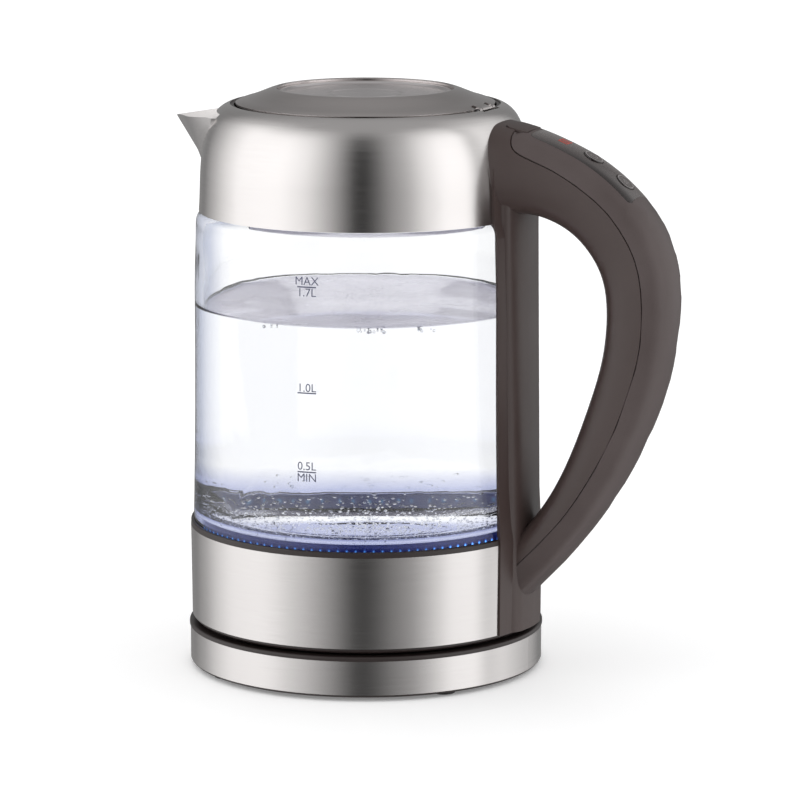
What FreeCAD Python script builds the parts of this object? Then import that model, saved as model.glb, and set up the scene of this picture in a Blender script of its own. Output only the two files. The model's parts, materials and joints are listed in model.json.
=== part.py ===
"""Glass electric kettle with a touch-panel handle, standing on its round power base.

Frame: millimetres, +Z up, origin on the kettle's own axis at the level of the feet.
The handle points along +X and the spout along -X.
Each function below makes one physical piece, and main() writes one STEP file for each.
"""
import math
import os

import FreeCAD
import Part
from FreeCAD import Vector

# ---- driving sizes ---------------------------------------------------------------------
UP = Vector(0, 0, 1)

# power base
BASE_R = 78.0             # steel skirt of the base
BASE_COVER_Z = 1.6        # underside of the bottom cover, which is also the foot height
SKIRT_LOW_Z = 2.6
SKIRT_HIGH_Z = 17.6
BASE_RIM_R = 78.4
BASE_TOP_Z = 19.5
FOOT_R = 5.0
FOOT_CIRCLE_R = 70.0
FOOT_FIRST_ANGLE = -37.0
BASE_SCREW_CIRCLE_R = 58.0

# cord entry in the base
CORD_Z = 10.0
CORD_BORE_R = 3.3
GLAND_BODY_R = 4.8
GLAND_FLANGE_R = 6.0
GLAND_SLOT_HALF = 5.0
GLAND_SLOT_CORNER = 2.0      # chamfer at the slot's closed end

# 360 degree connector
POST_R = 13.2             # centre post of the base socket
POST_TOP_Z = 29.0
CUP_INNER_R = 13.7
CUP_OUTER_R = 18.0
CUP_TOP_Z = 38.0
RING_SIZES = ((5.2, 6.2), (9.7, 10.7))     # inner and outer radius of the two ring contacts
PIN_R = 1.6
CONTACT_GAP = 0.5
CONTACT_WALL = 0.5

# jug
STEEL = 0.8               # sheet thickness of the collars
UNDERSIDE_Z = 20.7
COLLAR_LOW_Z = 22.7
COLLAR_HIGH_Z = 62.6
COLLAR_LOW_R = 77.1
COLLAR_HIGH_R = 77.5
TRIM_TOP_Z = 65.1
GLASS_LOW_Z = 57.0
GLASS_OUTER = ((76.2, 66.0), (75.9, 78.0), (75.3, 110.0), (75.05, 150.0), (74.75, 180.0),
               (74.3, 195.0), (73.6, 199.8), (71.8, 201.7))
GLASS_INNER = ((72.5, 66.0), (72.2, 78.0), (71.7, 110.0), (71.4, 150.0), (71.1, 180.0),
               (70.6, 193.0), (69.6, 198.0), (68.1, 201.5))
NECK_OUTER_R = 71.2
NECK_INNER_R = 67.6
GLASS_TOP_Z = 221.0
BAND_OUTER = ((72.9, 202.0), (72.4, 213.0), (71.9, 223.0), (70.7, 231.5), (68.5, 239.0),
              (66.0, 244.0), (63.2, 246.9), (60.8, 248.3), (59.0, 248.9))
FLOOR_Z = 60.5            # chamber floor
RIM_Z = 249.0
MOUTH_R = 57.3
NECK_WALL_R = 58.8
GASKET_TOP_Z = 223.5

# lid
LID_EDGE_R = 56.6
LID_PLUG_R = 55.3
LID_PLUG_Z = 236.0
LID_RECESS_R = 38.5
LID_TOP_Z = 255.5
HINGE_X = 56.5
HINGE_Z = 248.6
HINGE_PIN_R = 0.8
KNUCKLE_R = 1.5
KNUCKLE_HALF = 5.2
LUG_FROM = 5.7
LUG_TO = 8.1
HINGE_SEAT_HALF = 8.4     # half width of the room cut for the hinge

# spout
SPOUT_LOW_Z = 211.0
SPOUT_HOLLOW_Z = 224.0    # the beak is solid below this height
SPOUT_HIGH_Z = 245.5
SPOUT_TIP_R = 91.9
SPOUT_TIP_Z = 239.3
SPOUT_HALF_ANGLE = 34.0

# handle: stations from the collar to the foot of the grip.  Each is
# (outer x, outer z, inner x, inner z, half width, squareness of the section)
GRIP_STATIONS = (
    (60.0, 246.0, 58.0, 203.0, 22.5, 2.7),
    (70.0, 243.2, 69.0, 204.0, 22.0, 2.7),
    (82.0, 240.4, 80.0, 204.8, 19.5, 2.7),
    (97.0, 235.0, 91.0, 202.3, 17.3, 2.8),
    (111.0, 228.0, 101.0, 196.8, 16.0, 2.9),
    (125.2, 217.3, 109.0, 188.2, 15.3, 2.9),
    (137.4, 202.7, 113.8, 178.6, 15.0, 2.9),
    (144.0, 185.4, 115.6, 168.5, 15.0, 2.9),
    (145.4, 166.0, 115.5, 156.5, 15.0, 2.9),
    (142.2, 140.6, 113.2, 141.5, 15.0, 2.9),
    (135.6, 118.8, 107.4, 122.5, 15.0, 2.9),
    (124.0, 94.0, 98.6, 99.5, 14.8, 2.9),
    (109.4, 71.0, 88.4, 80.5, 14.2, 2.9),
    (94.2, 52.2, 76.5, 65.5, 13.6, 2.9),
    (79.6, 37.2, 62.0, 52.0, 12.8, 2.9),
)
SEAM = ((74.0, 250.0), (74.6, 240.0), (76.6, 234.6), (82.0, 231.0), (95.0, 225.4),
        (104.0, 220.2), (112.0, 214.6), (119.4, 208.0), (125.5, 200.2), (130.4, 191.6),
        (133.4, 182.0), (134.7, 170.8), (133.6, 149.1), (128.9, 131.5), (121.2, 111.3),
        (110.6, 91.8), (100.6, 76.9), (89.0, 63.6), (78.2, 52.8), (66.0, 42.0))
WALL = 2.6                # plastic wall of the grip
SEAM_GROOVE = 0.55
SEAM_DEPTH = 0.9

PANEL_FROM_X = 81.5
PANEL_TO_X = 128.0
PANEL_HALF = 10.0
PANEL_THICK = 1.5
BUTTON_R = 4.4
BUTTON_GAP = 0.35
BUTTON_TRAVEL = 0.6
POWER_BUTTON = (107.0, 230.3)
MODE_BUTTON = (121.4, 220.3)
LID_BUTTON_FROM_X = 70.0
LID_BUTTON_TO_X = 79.6
LID_BUTTON_HALF = 8.7
UPPER_SCREW_Y = 13.0
UPPER_SCREW_Z = 232.5
LOWER_SCREW_Z = 33.6
LATCH_Z = 227.6
LATCH_THICK = 2.8


# ---- drawing helpers -------------------------------------------------------------------
def straight(*points):
    """Line edges in the XZ plane through (r, z) points."""
    corners = [Vector(r, 0, z) for r, z in points]
    return [Part.makeLine(a, b) for a, b in zip(corners, corners[1:])]


def smooth(*points):
    """One curved edge in the XZ plane through (r, z) points."""
    curve = Part.BSplineCurve()
    curve.interpolate([Vector(r, 0, z) for r, z in points])
    return [curve.toShape()]


def spin(edges, angle=360.0, start=0.0):
    """Solid of revolution about Z from a closed chain of edges in the XZ plane."""
    face = Part.Face(Part.Wire(Part.__sortEdges__(edges)))
    solid = face.revolve(Vector(0, 0, 0), UP, angle)
    if start:
        solid.rotate(Vector(0, 0, 0), UP, start)
    return solid


def ring(inner, outer, low, high):
    """Plain ring or, with an inner radius of 0, a disc."""
    solid = Part.makeCylinder(outer, high - low, Vector(0, 0, low))
    if inner > 0:
        solid = solid.cut(Part.makeCylinder(inner, high - low, Vector(0, 0, low)))
    return solid


def block(low, high):
    """Box between two opposite corners."""
    size = [b - a for a, b in zip(low, high)]
    return Part.makeBox(size[0], size[1], size[2], Vector(*low))


def slab(points, half_width):
    """Prism with a polygon outline in XZ, centred on the Y axis."""
    corners = [Vector(x, -half_width, z) for x, z in points]
    face = Part.Face(Part.makePolygon(corners + corners[:1]))
    return face.extrude(Vector(0, 2 * half_width, 0))


def around(count, radius, first=0.0):
    """Points evenly spaced on a circle about Z."""
    for i in range(count):
        angle = math.radians(first + 360.0 * i / count)
        yield Vector(radius * math.cos(angle), radius * math.sin(angle), 0)


def join(pieces):
    """One shape from touching or overlapping solids."""
    pieces = list(pieces)
    return pieces[0].fuse(pieces[1:]).removeSplitter() if len(pieces) > 1 else pieces[0]


def soften(shape, radius, wanted):
    """Fillet the edges for which wanted(edge) is true."""
    edges = [edge for edge in shape.Edges if wanted(edge)]
    return shape.makeFillet(radius, edges)


def circle_at(radius, height):
    """Test for full circles about Z of this radius at this height."""
    def wanted(edge):
        curve = edge.Curve
        return (isinstance(curve, Part.Circle) and abs(curve.Radius - radius) < 0.01
                and abs(curve.Center.z - height) < 0.01)
    return wanted


# ---- power base ------------------------------------------------------------------------
def base_bottom_cover():
    cover = spin(straight((0, BASE_COVER_Z), (77.2, BASE_COVER_Z), (77.8, BASE_COVER_Z + 0.6),
                          (77.8, SKIRT_LOW_Z), (77.0, SKIRT_LOW_Z), (77.0, 16.5), (75.0, 16.5),
                          (75.0, 3.2), (0, 3.2), (0, BASE_COVER_Z)))
    for p in around(3, BASE_SCREW_CIRCLE_R, 90.0):
        under = Vector(p.x, p.y, BASE_COVER_Z)
        cover = cover.fuse(Part.makeCylinder(5.0, 1.8, Vector(p.x, p.y, 3.2)))
        cover = cover.cut(Part.makeCylinder(3.1, 2.1, under))
        cover = cover.cut(Part.makeCylinder(1.5, 6.0, under))
    return cover.cut(gland_slot(17.0))


def gland_slot(open_z):
    """Straight-sided slot for the cord gland, open at the wall's edge on the open_z side."""
    end = 2 * CORD_Z - open_z
    end_z = CORD_Z + math.copysign(GLAND_SLOT_HALF, end - CORD_Z)
    corner_z = CORD_Z + math.copysign(GLAND_SLOT_HALF - GLAND_SLOT_CORNER, end - CORD_Z)
    half, short = GLAND_SLOT_HALF, GLAND_SLOT_HALF - GLAND_SLOT_CORNER
    outline = [(-half, open_z), (-half, corner_z), (-short, end_z),
               (short, end_z), (half, corner_z), (half, open_z), (-half, open_z)]
    face = Part.Face(Part.makePolygon([Vector(x, 68.0, z) for x, z in outline]))
    return face.extrude(Vector(0, 14.0, 0))


def base_skirt_ring():
    return ring(BASE_R - STEEL, BASE_R, SKIRT_LOW_Z, SKIRT_HIGH_Z).cut(gland_slot(2.0))


def base_top_shell():
    shell = spin(straight((19.0, 17.0), (72.8, 17.0), (72.8, 13.0), (74.8, 13.0),
                          (74.8, 17.6), (BASE_RIM_R, 17.6), (BASE_RIM_R, BASE_TOP_Z),
                          (73.5, BASE_TOP_Z), (71.5, 18.8), (19.0, 18.8), (19.0, 17.0)))
    shell = soften(shell, 0.9, circle_at(BASE_RIM_R, BASE_TOP_Z))
    shell = shell.cut(block((-9, 60, 5), (9, 76, 17.0)))
    for p in around(3, BASE_SCREW_CIRCLE_R, 90.0):
        post = Part.makeCylinder(4.0, 12.0, Vector(p.x, p.y, 5.0))
        shell = shell.fuse(post)
        shell = shell.cut(Part.makeCylinder(1.5, 8.0, Vector(p.x, p.y, 5.0)))
    return shell.removeSplitter()


def screw(x, y, head_z, length):
    """Screw driven upward: its head starts at head_z and its shank runs up."""
    head = Part.makeCylinder(2.9, 1.8, Vector(x, y, head_z))
    shank = Part.makeCylinder(1.5, length, Vector(x, y, head_z + 1.8))
    cross = [block((x - 1.6, y - 0.35, head_z), (x + 1.6, y + 0.35, head_z + 0.9)),
             block((x - 0.35, y - 1.6, head_z), (x + 0.35, y + 1.6, head_z + 0.9))]
    return head.fuse(shank).cut(cross[0]).cut(cross[1])


def base_screws():
    return Part.makeCompound([screw(p.x, p.y, 1.9, 8.0)
                              for p in around(3, BASE_SCREW_CIRCLE_R, 90.0)])


def base_feet():
    feet = []
    for p in around(4, FOOT_CIRCLE_R, FOOT_FIRST_ANGLE):
        foot = Part.makeCylinder(FOOT_R, BASE_COVER_Z, p)
        feet.append(soften(foot, 0.3, lambda e: e.BoundBox.ZMax < 0.01))
    return Part.makeCompound(feet)


def cord_gland():
    along = Vector(0, 1, 0)
    body = Part.makeCylinder(GLAND_BODY_R, 12.0, Vector(0, 68.5, CORD_Z), along)
    outside = Part.makeCylinder(GLAND_FLANGE_R, 2.0, Vector(0, 78.1, CORD_Z), along)
    inside = Part.makeCylinder(GLAND_FLANGE_R, 2.0, Vector(0, 72.3, CORD_Z), along)
    bore = Part.makeCylinder(CORD_BORE_R, 14.0, Vector(0, 68.0, CORD_Z), along)
    return join([body, outside, inside]).cut(bore)


def contact_slots():
    """Ring slots and the centre hole of the base socket, as (inner, outer) radii."""
    slots = [(0.0, PIN_R + CONTACT_GAP + CONTACT_WALL)]
    for inner, outer in RING_SIZES:
        slots.append((inner - CONTACT_GAP, outer + CONTACT_GAP + CONTACT_WALL))
    return slots


def base_connector():
    socket = spin(straight((0, 3.2), (24.0, 3.2), (24.0, 5.0), (18.8, 5.0), (18.8, 18.3),
                           (POST_R, 18.3), (POST_R, POST_TOP_Z), (0, POST_TOP_Z), (0, 3.2)))
    socket = soften(socket, 1.2, circle_at(POST_R, POST_TOP_Z))
    for inner, outer in contact_slots():
        socket = socket.cut(ring(inner, outer, 12.0, 30.0))
    return socket


def base_contacts():
    return Part.makeCompound([ring(outer - CONTACT_WALL, outer, 13.0, 23.0)
                              for inner, outer in contact_slots()])


# ---- kettle half of the connector --------------------------------------------------------
def kettle_connector():
    cup = spin(straight((CUP_INNER_R, 21.0), (CUP_OUTER_R, 21.0), (CUP_OUTER_R, 24.0),
                        (21.0, 24.0), (21.0, 25.6), (CUP_OUTER_R, 25.6),
                        (CUP_OUTER_R, CUP_TOP_Z), (0, CUP_TOP_Z), (0, 30.5),
                        (CUP_INNER_R, 30.5), (CUP_INNER_R, 21.0)))
    for inner, outer in RING_SIZES:
        cup = cup.cut(ring(inner, outer, 30.0, 35.0))
    return cup.cut(ring(0, PIN_R, 30.0, 35.0))


def kettle_contacts():
    rings = [ring(inner, outer, 16.0, 35.0) for inner, outer in RING_SIZES]
    return Part.makeCompound(rings + [ring(0, PIN_R, 15.0, 35.0)])


# ---- jug, bottom end ---------------------------------------------------------------------
def underside_cover():
    cover = spin(straight((18.5, UNDERSIDE_Z), (75.4, UNDERSIDE_Z), (76.3, 21.6),
                          (76.3, COLLAR_LOW_Z), (76.2, COLLAR_LOW_Z), (76.2, 30.0),
                          (74.4, 30.0), (74.4, 22.6), (18.5, 22.6), (18.5, UNDERSIDE_Z)))
    for p in around(3, 62.0, 90.0):
        cover = cover.fuse(Part.makeCylinder(5.0, 2.4, Vector(p.x, p.y, 22.6)))
        cover = cover.cut(Part.makeCylinder(3.1, 2.2, Vector(p.x, p.y, UNDERSIDE_Z)))
        cover = cover.cut(Part.makeCylinder(1.5, 6.0, Vector(p.x, p.y, UNDERSIDE_Z)))
    return cover.removeSplitter()


def underside_screws():
    return Part.makeCompound([screw(p.x, p.y, 21.1, 8.0) for p in around(3, 62.0, 90.0)])


def lower_collar():
    collar = spin(straight((COLLAR_LOW_R - STEEL, COLLAR_LOW_Z), (COLLAR_LOW_R, COLLAR_LOW_Z),
                         (COLLAR_HIGH_R, COLLAR_HIGH_Z), (COLLAR_HIGH_R - STEEL, COLLAR_HIGH_Z),
                         (COLLAR_LOW_R - STEEL, COLLAR_LOW_Z)))
    return collar.cut(lower_screw_hole())


def collar_trim_ring():
    trim = ring(76.2, COLLAR_HIGH_R - 0.1, COLLAR_HIGH_Z, TRIM_TOP_Z)
    return soften(trim, 0.5, circle_at(COLLAR_HIGH_R - 0.1, TRIM_TOP_Z))


def glass_body():
    outer = smooth(*GLASS_OUTER)
    inner = smooth(*GLASS_INNER)
    edges = straight((GLASS_INNER[0][0], GLASS_LOW_Z), (GLASS_OUTER[0][0], GLASS_LOW_Z),
                     GLASS_OUTER[0])
    edges += outer
    edges += straight(GLASS_OUTER[-1], (NECK_OUTER_R, 203.0), (NECK_OUTER_R, GLASS_TOP_Z),
                      (NECK_INNER_R, GLASS_TOP_Z), (NECK_INNER_R, 203.0), GLASS_INNER[-1])
    edges += inner
    edges += straight(GLASS_INNER[0], (GLASS_INNER[0][0], GLASS_LOW_Z))
    return spin(edges)


def lower_gasket():
    return ring(70.8, 72.5, GLASS_LOW_Z, 61.5)


def heater_plate():
    plate = spin(straight((0, 59.2), (69.0, 59.2), (69.0, 56.0), (70.8, 56.0), (70.8, FLOOR_Z),
                          (0, FLOOR_Z), (0, 59.2)))
    for p in around(3, 62.0, 90.0):
        stud = Part.makeCylinder(3.2, 34.2, Vector(p.x, p.y, 25.0))
        plate = plate.fuse(stud).cut(Part.makeCylinder(1.5, 6.5, Vector(p.x, p.y, 25.0)))
    return plate.removeSplitter()


def led_ring():
    return spin(straight((69.4, FLOOR_Z), (70.8, FLOOR_Z), (70.8, 61.5), (72.2, 61.5),
                         (72.0, 66.6), (70.8, 67.4), (69.4, 66.6), (69.4, FLOOR_Z)))


def heat_spreader():
    return ring(6.0, 52.0, 55.0, 59.2)


def heating_element():
    tube = Part.makeTorus(42.0, 4.0, Vector(0, 0, 51.0), UP, -180, 180, 300)
    legs = []
    for angle in (0.0, 300.0):
        end = Vector(42.0 * math.cos(math.radians(angle)), 42.0 * math.sin(math.radians(angle)), 37.0)
        legs.append(Part.makeCylinder(2.0, 13.0, end))
    return join([tube] + legs)


def temperature_sensor():
    return join([ring(0, 4.0, 44.0, 59.2), ring(0, 5.6, 44.0, 46.0)])


def power_board():
    board = block((27, -24, 29.0), (66, 24, 30.6))
    relay = block((32, -20, 30.6), (48, -8, 41.0))
    supply = block((32, 2, 30.6), (50, 18, 39.0))
    capacitor = Part.makeCylinder(4.0, 11.0, Vector(58, 10, 30.6))
    connector = block((54, -16, 30.6), (62, -6, 36.0))
    return join([board, relay, supply, capacitor, connector])


# ---- jug, top end ------------------------------------------------------------------------
def band_inner_points():
    """The outer profile of the upper band, moved in by the sheet thickness."""
    points = []
    count = len(BAND_OUTER)
    for i, (r, z) in enumerate(BAND_OUTER):
        before = BAND_OUTER[max(i - 1, 0)]
        after = BAND_OUTER[min(i + 1, count - 1)]
        dr, dz = after[0] - before[0], after[1] - before[1]
        size = math.hypot(dr, dz)
        points.append((r - STEEL * dz / size, z + STEEL * dr / size))
    return points


def band_solid():
    inner = band_inner_points()
    inner[-1] = (BAND_OUTER[-1][0], inner[-1][1])
    inner[0] = (inner[0][0], BAND_OUTER[0][1])
    return spin(smooth(*BAND_OUTER) + straight(BAND_OUTER[-1], inner[-1])
                + smooth(*inner) + straight(inner[0], BAND_OUTER[0]))


def upper_collar():
    band = band_solid().cut(spout_form(1.0))
    hinge_notch = block((57.0, -HINGE_SEAT_HALF, 246.5), (60.0, HINGE_SEAT_HALF, 250.0))
    band = band.cut(latch_path()).cut(hinge_notch)
    for side in (-1, 1):
        band = band.cut(upper_screw_hole(side))
    return band


def upper_gasket():
    return ring(66.4, 71.0, GLASS_TOP_Z, GASKET_TOP_Z)


def neck_ring():
    ring_piece = spin(straight((MOUTH_R, GASKET_TOP_Z), (70.2, GASKET_TOP_Z), (70.2, 225.4),
                               (NECK_WALL_R, 225.4), (NECK_WALL_R, 248.3), (MOUTH_R, 248.3),
                               (MOUTH_R, GASKET_TOP_Z)))
    window = block((-80, -26, 227.0), (-40, 26, 240.0))
    seat = block((50, -HINGE_SEAT_HALF, 244.6), (62, HINGE_SEAT_HALF, 250.0))
    return ring_piece.cut(window).cut(latch_path()).cut(seat)


def spout_section(height, inset):
    """Plan outline of the beak at one height, moved in by inset."""
    share = max((height - SPOUT_LOW_Z) / (SPOUT_TIP_Z - SPOUT_LOW_Z), 0.0)
    tip = 72.6 + (SPOUT_TIP_R - 72.6) * share - 1.5 * inset
    angle = math.radians(4.0 + (SPOUT_HALF_ANGLE - 4.0) * min(share, 1.15) ** 0.8)
    angle -= inset / 69.0
    side = 71.2 - 2.5 * share
    root = Vector(-side * math.cos(angle), side * math.sin(angle), height)
    back = Vector(root.x + 6.0, root.y * 0.97, height)
    nose = min(2.6, 0.5 * root.y)
    reach = 0.5 * (tip + root.x)
    flank = Vector(-tip + 0.93 * reach, 0.54 * root.y + 0.4, height)
    points = [root, flank, Vector(-tip + 0.62 * nose, nose, height), Vector(-tip, 0, height)]
    points += [Vector(p.x, -p.y, p.z) for p in reversed(points[:-1])]
    curve = Part.BSplineCurve()
    curve.interpolate(points)
    other_root = Vector(root.x, -root.y, height)
    other_back = Vector(back.x, -back.y, height)
    return Part.Wire([curve.toShape(), Part.makeLine(other_root, other_back),
                      Part.makeLine(other_back, back), Part.makeLine(back, root)])


def spout_form(inset):
    """Solid beak, used for its outside with inset 0 and for its hollow with inset 1."""
    low = SPOUT_HOLLOW_Z if inset else SPOUT_LOW_Z
    steps = 6
    heights = [low + (SPOUT_HIGH_Z - low) * i / steps for i in range(steps + 1)]
    return Part.makeLoft([spout_section(h, inset) for h in heights], True, False)


def spout():
    beak = spout_form(0.0).cut(spout_form(1.0))
    above = slab(((-110, SPOUT_TIP_Z - 0.9), (-92, SPOUT_TIP_Z), (-60, 243.4), (-40, 244.0),
                  (-40, 260), (-110, 260)), 60)
    beak = beak.cut(above).cut(jug_envelope())
    return max(beak.Solids, key=lambda s: s.Volume)


def filter_frame():
    frame = spin(straight((54.8, 205.0), (MOUTH_R, 205.0), (MOUTH_R, 234.8), (54.8, 234.8),
                          (54.8, 205.0)), 52.0, 154.0)
    window = spin(straight((50.0, 209.0), (60.0, 209.0), (60.0, 231.0), (50.0, 231.0),
                           (50.0, 209.0)), 42.0, 159.0)
    ribs = [spin(straight((55.0, 209.0), (57.0, 209.0), (57.0, 231.0), (55.0, 231.0),
                          (55.0, 209.0)), 1.6, middle - 0.8) for middle in (173.0, 187.0)]
    return join([frame.cut(window)] + ribs)


def filter_mesh():
    """Fine steel mesh: three panels of bars between the ribs of the frame."""
    bars = []
    for first, last in ((159.0, 172.2), (173.8, 186.2), (187.8, 201.0)):
        for level in range(12):
            z = 209.0 + level * 2.0 - (0.0 if level < 11 else 0.4)
            bars.append(spin(straight((55.8, z), (56.2, z), (56.2, z + 0.4), (55.8, z + 0.4),
                                      (55.8, z)), last - first, first))
        count = 7
        for i in range(count):
            start = first + (last - first - 0.45) * i / (count - 1)
            bars.append(spin(straight((55.8, 209.0), (56.2, 209.0), (56.2, 231.0), (55.8, 231.0),
                                      (55.8, 209.0)), 0.45, start))
    return Part.makeCompound([join(bars[i:i + 19]) for i in range(0, len(bars), 19)])


def lid_hinge_bracket():
    """Seat plate on the neck ring with two lugs that carry the hinge pin."""
    wall = ring(MOUTH_R, NECK_WALL_R, 244.6, 248.3)
    seat = wall.common(block((50, -HINGE_SEAT_HALF, 240), (62, HINGE_SEAT_HALF, 250)))
    seat = seat.cut(block((50, -LUG_FROM + 0.1, 246.3), (62, LUG_FROM - 0.1, 250)))
    lugs = []
    for side in (-1, 1):
        low = min(side * LUG_FROM, side * LUG_TO)
        barrel = Part.makeCylinder(KNUCKLE_R, LUG_TO - LUG_FROM, Vector(HINGE_X, low, HINGE_Z),
                                   Vector(0, 1, 0))
        stem = block((HINGE_X - 0.8, low, 244.8), (58.3, low + LUG_TO - LUG_FROM, HINGE_Z))
        lugs.append(barrel.fuse(stem))
    return join([seat] + lugs).cut(hinge_bore(HINGE_PIN_R + 0.25))


# ---- lid ---------------------------------------------------------------------------------
def lid_slots():
    """Room in the lid edge for the two bracket lugs."""
    slots = []
    for side in (-1, 1):
        low = min(side * (LUG_FROM - 0.5), side * (LUG_TO + 0.4))
        high = max(side * (LUG_FROM - 0.5), side * (LUG_TO + 0.4))
        slots.append(block((53.2, low, 240.0), (60.0, high, 256.0)))
    return slots[0].fuse(slots[1])


def hinge_bore(radius):
    return Part.makeCylinder(radius, 40, Vector(HINGE_X, -20, HINGE_Z), Vector(0, 1, 0))


def lid_outer_shell():
    top = smooth((LID_EDGE_R, 249.3), (55.2, 250.0), (51.5, 251.2), (47.0, 252.8),
                 (42.5, 254.6), (39.6, LID_TOP_Z))
    edges = straight((LID_EDGE_R, 248.4), (LID_EDGE_R, 249.3)) + top
    edges += straight((39.6, LID_TOP_Z), (38.9, LID_TOP_Z), (LID_RECESS_R, 255.1),
                      (LID_RECESS_R, 251.6), (40.2, 251.6), (40.2, 253.6), (45.0, 252.3),
                      (50.0, 250.5), (53.6, 248.6), (53.8, LID_PLUG_Z + 2.0),
                      (LID_PLUG_R, LID_PLUG_Z + 2.0), (LID_PLUG_R, 248.4), (LID_EDGE_R, 248.4))
    shell = spin(edges)
    knuckle = Part.makeCylinder(KNUCKLE_R, 2 * KNUCKLE_HALF,
                                Vector(HINGE_X, -KNUCKLE_HALF, HINGE_Z), Vector(0, 1, 0))
    bridge = block((53.0, -KNUCKLE_HALF, 247.4), (HINGE_X, KNUCKLE_HALF, 249.8))
    knuckle = knuckle.common(block((50, -10, 240), (60, 10, 249.8)))
    shell = shell.cut(lid_slots()).fuse([knuckle, bridge])
    return shell.cut(hinge_bore(HINGE_PIN_R)).removeSplitter()


def lid_top_disc():
    disc = spin(straight((0, 251.6), (LID_RECESS_R, 251.6), (LID_RECESS_R, 253.6), (37.6, 254.2),
                         (36.4, 254.2), (35.4, 253.4), (16.6, 253.0), (16.2, 252.7),
                         (15.8, 252.7), (15.4, 253.0), (0, 253.1), (0, 251.6)))
    return disc


def lid_inner_cover():
    cover = spin(straight((0, LID_PLUG_Z), (LID_PLUG_R - 1.2, LID_PLUG_Z),
                          (LID_PLUG_R, LID_PLUG_Z + 1.2), (LID_PLUG_R, LID_PLUG_Z + 2.0),
                          (53.6, LID_PLUG_Z + 2.0), (53.6, LID_PLUG_Z + 5.0),
                          (52.2, LID_PLUG_Z + 5.0), (52.2, LID_PLUG_Z + 1.6),
                          (0, LID_PLUG_Z + 1.6), (0, LID_PLUG_Z)))
    arm = slab(((51.6, LID_PLUG_Z + 1.0), (51.6, 224.6), (54.6, 224.6), (55.2, 225.2),
                (55.2, 227.0), (53.4, 227.2), (53.4, LID_PLUG_Z + 1.0)), 4.2)
    return join([cover, arm])


def lid_gasket():
    seal = ring(LID_PLUG_R, 56.9, 240.5, 243.0)
    return soften(seal, 0.5, lambda e: isinstance(e.Curve, Part.Circle) and e.Curve.Radius > 56.5)


def lid_hinge_pin():
    return Part.makeCylinder(HINGE_PIN_R, 2 * LUG_TO, Vector(HINGE_X, -LUG_TO, HINGE_Z),
                             Vector(0, 1, 0))


# ---- handle ------------------------------------------------------------------------------
def jug_envelope():
    """Everything inside the outer surface of the jug, used to fit pieces against it."""
    edges = straight((0, 20.0), (COLLAR_LOW_R, 20.0), (COLLAR_LOW_R, COLLAR_LOW_Z),
                     (COLLAR_HIGH_R, COLLAR_HIGH_Z), (COLLAR_HIGH_R - 0.1, TRIM_TOP_Z),
                     (GLASS_OUTER[0][0], TRIM_TOP_Z), GLASS_OUTER[0])
    edges += smooth(*GLASS_OUTER)
    edges += straight(GLASS_OUTER[-1], BAND_OUTER[0])
    edges += smooth(*BAND_OUTER)
    edges += straight(BAND_OUTER[-1], (0, RIM_Z), (0, 20.0))
    return spin(edges)


def grip_outline(station, inset, points=24):
    """Closed, softly squared row of points across the grip at one station."""
    outer_x, outer_z, inner_x, inner_z, half, power = station
    middle = Vector((outer_x + inner_x) / 2, 0, (outer_z + inner_z) / 2)
    across = Vector(outer_x - inner_x, 0, outer_z - inner_z)
    depth = across.Length / 2 - inset
    across.normalize()
    half -= inset
    outline = []
    for i in range(points):
        turn = math.pi + 2 * math.pi * i / points
        c, s = math.cos(turn), math.sin(turn)
        along = depth * math.copysign(abs(c) ** (2 / power), c)
        side = half * math.copysign(abs(s) ** (2 / power), s)
        outline.append(middle + across * along + Vector(0, side, 0))
    return outline


def even_curve(points, closed):
    """Curve through points with evenly spaced parameters."""
    steps = len(points) if closed else len(points) - 1
    curve = Part.BSplineCurve()
    curve.interpolate(Points=points, PeriodicFlag=closed,
                      Parameters=[i / steps for i in range(steps + 1)])
    return curve


def grip_form(inset):
    """Solid grip, skinned smoothly over its stations and closed by two flat ends."""
    outlines = [even_curve(grip_outline(s, inset), True) for s in GRIP_STATIONS]
    lengthwise = [even_curve(list(row), False) for row in zip(*[o.getPoles() for o in outlines])]
    across, along = outlines[0], lengthwise[0]
    surface = Part.BSplineSurface()
    surface.buildFromPolesMultsKnots([c.getPoles() for c in lengthwise],
                                     across.getMultiplicities(), along.getMultiplicities(),
                                     across.getKnots(), along.getKnots(), True, False,
                                     across.Degree, along.Degree)
    skin = surface.toShape()
    ends = [edge for edge in skin.Edges if edge.isClosed()]
    shell = Part.Shell([skin] + [Part.Face(Part.Wire(edge)) for edge in ends])
    shell.sewShape()
    return Part.Solid(shell)


def seam_side(shift):
    """All the space outside the seam between the grip halves, moved out by shift."""
    moved = []
    for i, (x, z) in enumerate(SEAM):
        before = SEAM[max(i - 1, 0)]
        after = SEAM[min(i + 1, len(SEAM) - 1)]
        dx, dz = after[0] - before[0], after[1] - before[1]
        size = math.hypot(dx, dz)
        moved.append((x - shift * dz / size, z + shift * dx / size))
    edges = smooth(*moved) + straight(moved[-1], (66.0, 0.0), (200.0, 0.0), (200.0, 290.0),
                                      (moved[0][0], 290.0), moved[0])
    face = Part.Face(Part.Wire(Part.__sortEdges__(edges)))
    face.translate(Vector(0, -60, 0))
    return face.extrude(Vector(0, 120, 0))


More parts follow.
